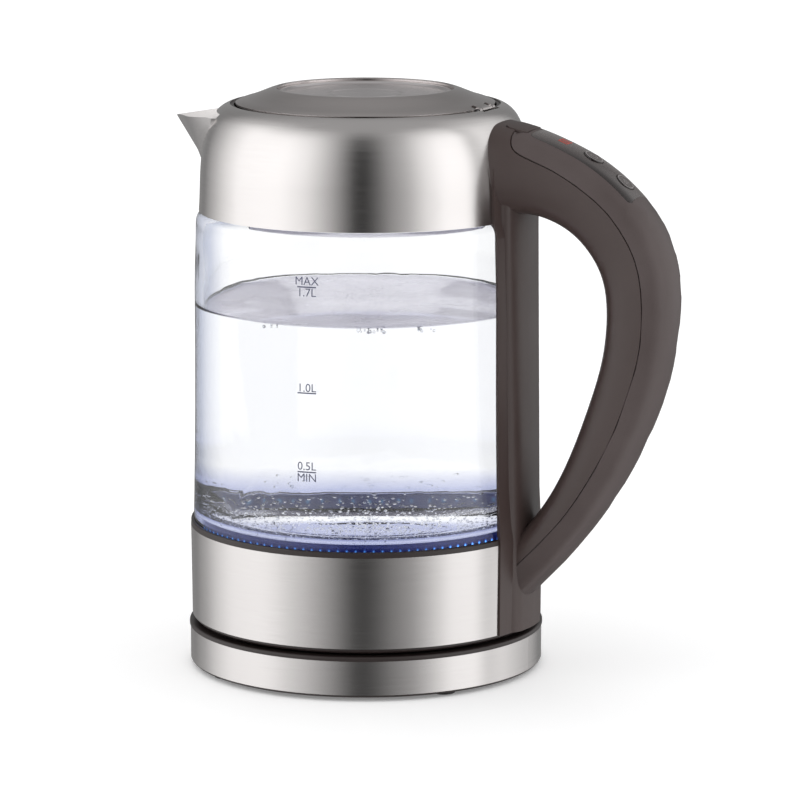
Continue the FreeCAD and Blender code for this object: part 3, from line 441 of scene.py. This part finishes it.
def kettle_floor():
    """Steel heater plate: pale in the middle, with painted blue-grey ring light and shade near the
    lit ring.
    """
    material, tree, shader = new_material("kettle_floor")
    split = tree.nodes.new("ShaderNodeSeparateXYZ")
    tree.links.new(place_vector(tree), split.inputs["Vector"])
    radius = flat_radius(tree, split)
    speckle = noise_node(tree, place_vector(tree), 420.0, 3.0, 0.7)
    pale = colour_ramp(tree, speckle, (0.34, 0.34, 0.37), (0.50, 0.50, 0.53), 0.35, 0.65)
    dark = colour_ramp(tree, speckle, (0.05, 0.06, 0.14), (0.20, 0.21, 0.32), 0.35, 0.65)
    # painted ring light and shade: the colour turns dark blue-grey toward the lit ring
    tree.links.new(blend(tree, step_between(tree, radius, 0.036, 0.050), pale, dark),
                   shader.inputs["Base Color"])
    shader.inputs["Metallic"].default_value = 0.7
    shader.inputs["Roughness"].default_value = 0.4
    bump(tree, shader, speckle, 0.00006, 0.4)
    return material


def plain_metal(name, dark, light, rough, grain=300.0, metallic=1.0):
    material, tree, shader = new_material(name)
    fine = noise_node(tree, place_vector(tree), grain, 3.0)
    tree.links.new(colour_ramp(tree, fine, dark, light, 0.3, 0.7), shader.inputs["Base Color"])
    shader.inputs["Metallic"].default_value = metallic
    shader.inputs["Roughness"].default_value = rough
    bump(tree, shader, fine, 0.00005, 0.3)
    return material


def ink(name, dark, light):
    material, tree, shader = new_material(name)
    fine = noise_node(tree, place_vector(tree), 1500.0, 2.0)
    tree.links.new(colour_ramp(tree, fine, dark, light), shader.inputs["Base Color"])
    shader.inputs["Roughness"].default_value = 0.5
    return material


def lit_segments():
    material, tree, shader = new_material("lit_segments")
    fine = noise_node(tree, place_vector(tree), 700.0, 1.0)
    tree.links.new(colour_ramp(tree, fine, (0.65, 0.04, 0.02), (0.85, 0.10, 0.05)),
                   shader.inputs["Emission Color"])
    shader.inputs["Base Color"].default_value = (0.05, 0.01, 0.01, 1)
    shader.inputs["Emission Strength"].default_value = 0.55
    shader.inputs["Roughness"].default_value = 0.3
    return material


def circuit_board():
    material, tree, shader = new_material("circuit_board")
    vector = place_vector(tree)
    brick = tree.nodes.new("ShaderNodeTexVoronoi")
    brick.inputs["Scale"].default_value = 260.0
    tree.links.new(vector, brick.inputs["Vector"])
    tree.links.new(colour_ramp(tree, brick.outputs["Distance"], (0.55, 0.45, 0.18),
                               (0.03, 0.16, 0.08), 0.08, 0.14), shader.inputs["Base Color"])
    shader.inputs["Roughness"].default_value = 0.45
    return material


# ---- pieces made here ----------------------------------------------------------------------------
def mesh_object(name, vertices, faces, material, smooth=True):
    mesh = bpy.data.meshes.new(name)
    mesh.from_pydata([tuple(v) for v in vertices], [], faces)
    mesh.validate()
    mesh.materials.append(material)
    if smooth:
        mesh.polygons.foreach_set("use_smooth", [True] * len(mesh.polygons))
    thing = bpy.data.objects.new(name, mesh)
    bpy.context.scene.collection.objects.link(thing)
    return thing


def glass_radii():
    """Inner and outer radius of the glass at a height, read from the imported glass."""
    glass = frame["nodes"]["glass_body"].data
    tree = BVHTree.FromPolygons([v.co for v in glass.vertices],
                                [p.vertices for p in glass.polygons])

    def radii(z):
        inner = tree.ray_cast(Vector((0, 0, z)), Vector((0.0, -1.0, 0.0)))[0]
        outer = tree.ray_cast(Vector((0, -0.2, z)), Vector((0.0, 1.0, 0.0)))[0]
        return -inner.y, -outer.y
    return radii


def water(radii):
    """Body of water with a small meniscus where it meets the glass."""
    around = 144
    bottom = FLOOR_TOP + 0.0001
    profile = [(0.0, bottom), (0.030, bottom), (WATER_FOOT_R, bottom),
               (WATER_FOOT_R + 0.0002, RING_TOP - 0.0006), (WATER_FOOT_R + 0.0015, RING_TOP + 0.0002)]
    z = RING_TOP + 0.0010
    while z < WATER_TOP + 0.0010:
        profile.append((radii(z)[0] + WATER_OVERLAP, z))
        z += 0.004
    edge = radii(WATER_TOP)[0] + WATER_OVERLAP
    profile += [(edge, WATER_TOP + 0.0014), (edge - 0.0010, WATER_TOP + 0.0008),
                (edge - 0.0022, WATER_TOP + 0.0003), (edge - 0.0045, WATER_TOP),
                (0.045, WATER_TOP), (0.020, WATER_TOP), (0.0, WATER_TOP)]
    vertices, faces = [], []
    for r, z in profile:
        for i in range(around):
            a = 2 * math.pi * i / around
            vertices.append((r * math.cos(a), r * math.sin(a), z))
    for row in range(len(profile) - 1):
        for i in range(around):
            j = (i + 1) % around
            faces.append((row * around + i, row * around + j,
                          (row + 1) * around + j, (row + 1) * around + i))
    thing = mesh_object("water", vertices, faces, water_material())
    clean = bmesh.new()
    clean.from_mesh(thing.data)
    bmesh.ops.remove_doubles(clean, verts=clean.verts, dist=1e-6)
    bmesh.ops.recalc_face_normals(clean, faces=clean.faces)
    clean.to_mesh(thing.data)
    clean.free()
    return thing


def painted_surface_sheen(radii):
    """Thin disc lying just above the water, inside its raised rim, that carries the painted surface
    sheen.
    """
    around, rings = 96, 6
    edge = radii(WATER_TOP)[0] - 0.0008
    vertices, faces = [(0.0, 0.0, WATER_TOP + 0.0003)], []
    for row in range(1, rings + 1):
        r = edge * row / rings
        for i in range(around):
            a = 2 * math.pi * i / around
            vertices.append((r * math.cos(a), r * math.sin(a), WATER_TOP + 0.0003))
    for i in range(around):
        j = (i + 1) % around
        faces.append((0, 1 + i, 1 + j))
        for row in range(rings - 1):
            low, high = 1 + row * around, 1 + (row + 1) * around
            faces.append((low + i, high + i, high + j, low + j))
    return mesh_object("painted_sheen_disc", vertices, faces, painted_surface_sheen_material())


def bubble_places(radii):
    """Centres and radii of the bubbles: clusters under the water's rim, a layer at the floor."""
    pick = random.Random(11)
    for degrees, spread, count in RIM_BUBBLES:
        for _ in range(count):
            angle = math.radians(degrees + pick.uniform(-spread, spread))
            size = pick.uniform(0.0003, 0.0008)
            far = radii(WATER_TOP)[0] - 0.0012 - size - pick.uniform(0, 0.003)
            yield angle, far, WATER_TOP - size - pick.uniform(0.0002, 0.0012), size
    for _ in range(FLOOR_BUBBLES):
        angle = pick.uniform(0, 2 * math.pi)
        size = pick.uniform(0.00022, 0.00050)
        far = WATER_FOOT_R * math.sqrt(pick.random())
        near = max(0.0, -far * math.cos(angle - AWAY_FROM_CAMERA))
        if near < 0.025 or far > 0.062:
            yield angle, far, FLOOR_TOP + 0.0012 + 0.0075 * pick.random() ** 1.8, size
    for _ in range(WALL_BUBBLES):
        angle = pick.uniform(0, 2 * math.pi)
        size = pick.uniform(0.00025, 0.00055)
        yield angle, radii(0.08)[0] - 0.0015, 0.0690 + 0.007 * pick.random(), size


def ball_shape():
    """Points and faces of a ball of radius 1, slightly flattened."""
    ball = bmesh.new()
    bmesh.ops.create_icosphere(ball, subdivisions=2, radius=1.0)
    ball.verts.ensure_lookup_table()
    points = [Vector((v.co.x, v.co.y, v.co.z * 0.9)) for v in ball.verts]
    faces = [tuple(v.index for v in face.verts) for face in ball.faces]
    ball.free()
    return points, faces


def bubbles(radii):
    points, shapes = ball_shape()
    vertices, faces = [], []
    for angle, far, height, size in bubble_places(radii):
        spot = Vector((far * math.cos(angle), far * math.sin(angle), height))
        start = len(vertices)
        vertices.extend(spot + point * size for point in points)
        faces.extend(tuple(start + i for i in shape) for shape in shapes)
    return mesh_object("bubbles", vertices, faces, bubble_material())


def lettering(text, size):
    """Flat outline mesh of a short generic mark, centred on the origin in the XY plane."""
    curve = bpy.data.curves.new("mark_text", "FONT")
    curve.body = text
    curve.size = size / 0.70
    curve.align_x = "CENTER"
    curve.align_y = "CENTER"
    curve.resolution_u = 6
    helper = bpy.data.objects.new("mark_text", curve)
    bpy.context.scene.collection.objects.link(helper)
    bpy.context.view_layer.update()
    mesh = bpy.data.meshes.new_from_object(helper)
    points = [v.co.copy() for v in mesh.vertices]
    faces = [tuple(p.vertices) for p in mesh.polygons]
    bpy.data.objects.remove(helper)
    bpy.data.curves.remove(curve)
    bpy.data.meshes.remove(mesh)
    return points, faces


def level_marks(radii):
    """Printed level marks, wrapped on the outside of the glass."""
    vertices, faces = [], []

    def add(points, shapes):
        start = len(vertices)
        for x, z in points:
            r = radii(z)[1] + MARK_LIFT
            a = MARK_ANGLE + x / r
            vertices.append((r * math.cos(a), r * math.sin(a), z))
        faces.extend(tuple(start + i for i in shape) for shape in shapes)

    for text, height in MARKS:
        points, shapes = lettering(text, MARK_SIZE)
        add([(p.x, p.y + height) for p in points], shapes)
    for height in MARK_LINES:
        steps = 8
        top = [(-0.0042 + 0.0084 * i / steps, height + 0.00028) for i in range(steps + 1)]
        low = [(x, z - 0.00056) for x, z in top]
        add(low + top, [(i, i + 1, steps + 2 + i, steps + 1 + i) for i in range(steps)])
    printed = ink("printed_ink", (0.055, 0.060, 0.115), (0.085, 0.09, 0.15))
    return mesh_object("level_marks", vertices, faces, printed, smooth=False)


def key_face(node, joint):
    """Centre of a key's top, with the sideways and forward directions along its face."""
    press = Vector(frame_joint(joint)["axis"]).normalized()
    out = -press
    side = Vector((0, 1, 0))
    ahead = out.cross(side).normalized()
    thing = frame["nodes"][node]
    places = [thing.matrix_world @ v.co for v in thing.data.vertices]
    top = max(p.dot(out) for p in places)
    flat = [p for p in places if p.dot(out) > top - 0.00002]
    low = Vector([min(p[i] for p in flat) for i in range(3)])
    high = Vector([max(p[i] for p in flat) for i in range(3)])
    return (low + high) / 2 + out * 0.00006, side, ahead


def frame_joint(name):
    return next(j for j in frame["record"]["behaviour"]["joints"] if j["name"] == name)


def arc_band(radius, width, start, end, steps=48):
    """Flat band along an arc in a plane, as points and quads; angles in degrees."""
    points, shapes = [], []
    for i in range(steps + 1):
        a = math.radians(start + (end - start) * i / steps)
        for r in (radius - width / 2, radius + width / 2):
            points.append((r * math.cos(a), r * math.sin(a)))
        if i:
            k = 2 * i
            shapes.append((k - 2, k - 1, k + 1, k))
    return points, shapes


def bar(x0, y0, x1, y1):
    return [(x0, y0), (x1, y0), (x1, y1), (x0, y1)], [(0, 1, 2, 3)]


def key_print(name, node, joint, shapes, material):
    """Thin printed symbol on a key; shapes are in millimetres from the key's centre."""
    centre, side, ahead = key_face(node, joint)
    vertices, faces = [], []
    for points, quads in shapes:
        start = len(vertices)
        vertices += [centre + (ahead * x + side * y) * 0.001 for x, y in points]
        faces += [tuple(start + i for i in quad) for quad in quads]
    return mesh_object(name, vertices, faces, material, smooth=False)


def seven_segments(digit, width=2.3, height=4.2, line=0.42):
    """Quads of a lit digit, lower left corner at the origin, in millimetres."""
    half = height / 2
    rows = {"top": (0, height - line, width, height), "bottom": (0, 0, width, line),
            "right_high": (width - line, half, width, height),
            "right_low": (width - line, 0, width, half),
            "left_low": (0, 0, line, half), "left_high": (0, half, line, height)}
    lit = {"0": ("top", "right_high", "right_low", "bottom", "left_low", "left_high"),
           "1": ("right_high", "right_low")}[digit]
    return [bar(*rows[segment]) for segment in lit]


def display_digits():
    """Lit temperature readout, lying on the outside of the control panel."""
    node = frame["nodes"]["control_panel"]
    tree = BVHTree.FromPolygons([node.matrix_world @ v.co for v in node.data.vertices],
                                [p.vertices for p in node.data.polygons])
    vertices, faces = [], []
    for place, digit in enumerate("100"):
        for points, quads in seven_segments(digit):
            start = len(vertices)
            for x, y in points:
                across = 0.001 * (x + 3.1 * place - 4.3)
                along = DISPLAY_X + 0.001 * (2.1 - y)
                hit, normal = tree.ray_cast(Vector((along, across, 0.4)), Vector((0, 0, -1)))[:2]
                vertices.append(hit + normal * 0.00008)
            faces += [tuple(start + i for i in quad) for quad in quads]
    return mesh_object("display_digits", vertices, faces, lit_segments(), smooth=False)


# ---- finishes on the CAD pieces --------------------------------------------------------------------
def finish_cad_pieces():
    steel = brushed_steel("brushed_steel", (0.73, 0.70, 0.69), (0.79, 0.765, 0.755), 0.20, 0.27)
    # painted light: a lighter copy of the brushed steel stands in for the light on the lid's top disc
    disc_steel_painted_light = brushed_steel("disc_steel_painted_light", (0.82, 0.78, 0.78), (0.87, 0.83, 0.83), 0.20, 0.26,
                               depth=0.08)
    lid_steel = brushed_steel("lid_steel", (0.60, 0.56, 0.55), (0.65, 0.61, 0.60), 0.17, 0.21,
                              depth=0.08)
    black = moulded_plastic("black_plastic", (0.052, 0.035, 0.032), (0.062, 0.043, 0.040))
    # painted sheen: a lighter copy of the black plastic on the handle's outer shell stands in for its
    # soft highlight
    handle_painted_sheen = moulded_plastic("handle_plastic_painted_sheen", (0.068, 0.050, 0.048), (0.082, 0.062, 0.060), 0.40, 0.48)
    rim = moulded_plastic("rim_plastic", (0.022, 0.015, 0.014), (0.03, 0.022, 0.021), 0.28, 0.36)
    rubber = moulded_plastic("dark_rubber", (0.015, 0.014, 0.014), (0.024, 0.022, 0.022),
                             0.6, 0.75, 500.0)
    silicone = moulded_plastic("silicone", (0.55, 0.55, 0.54), (0.66, 0.66, 0.65), 0.5, 0.6, 400.0)
    screw = plain_metal("screw_steel", (0.42, 0.42, 0.43), (0.58, 0.58, 0.59), 0.32)
    aluminium = plain_metal("cast_aluminium", (0.60, 0.60, 0.61), (0.75, 0.75, 0.76), 0.42)
    brass = plain_metal("brass", (0.62, 0.47, 0.22), (0.78, 0.62, 0.32), 0.28)
    panel = gloss_panel()
    use = {
        "brushed_steel": steel, "lid_steel": lid_steel, "black_plastic": black,
        "gloss_black": panel, "clear_glass": clear_glass(), "silicone": silicone,
        "black_rubber": rubber, "light_guide": light_guide(), "aluminium": aluminium,
        "brass": brass, "screw_steel": screw, "board_green": circuit_board(), "cable": rubber,
    }
    special = {"collar_trim_ring": rim, "base_top_shell": rim, "base_bottom_cover": rim,
               "underside_cover": rim, "neck_ring": rim, "lid_hinge_bracket": lid_steel,
               "lid_top_disc": disc_steel_painted_light, "handle_outer": handle_painted_sheen,
               "heater_plate": kettle_floor()}
    slots = {row["node"]: row["material_slot"] for row in frame["record"]["subparts"]}
    for name, node in frame["nodes"].items():
        material = special.get(name, use[slots[name]])
        node.data.materials.clear()
        node.data.materials.append(material)


make_camera()
make_floor()
make_world()
bpy.context.scene.view_settings.view_transform = "Standard"
finish_cad_pieces()
radii = glass_radii()
symbol_ink = ink("printed_symbol", (0.26, 0.24, 0.24), (0.34, 0.32, 0.32))
power_symbol = [arc_band(3.9, 0.32, 0, 360), arc_band(1.45, 0.30, 35, 325),
                bar(0.3, -0.15, 2.2, 0.15)]
mode_symbol = [arc_band(3.9, 0.32, 0, 360), bar(-1.5, -1.15, 1.5, -0.85),
               bar(-1.5, -0.15, 1.5, 0.15), bar(-1.5, 0.85, 1.5, 1.15)]
pieces = (
    (water(radii), "jug", "clear_glass"),
    (painted_surface_sheen(radii), "jug", "clear_glass"),
    (bubbles(radii), "jug", "clear_glass"),
    (level_marks(radii), "jug", "black_plastic"),
    (display_digits(), "jug", "light_guide"),
    (key_print("power_symbol", "power_button", "power_button_press", power_symbol, symbol_ink),
     "power_key", "gloss_black"),
    (key_print("mode_symbol", "mode_button", "mode_button_press", mode_symbol, symbol_ink),
     "mode_key", "gloss_black"),
)
for piece, body, material_slot in pieces:
    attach(piece, body)
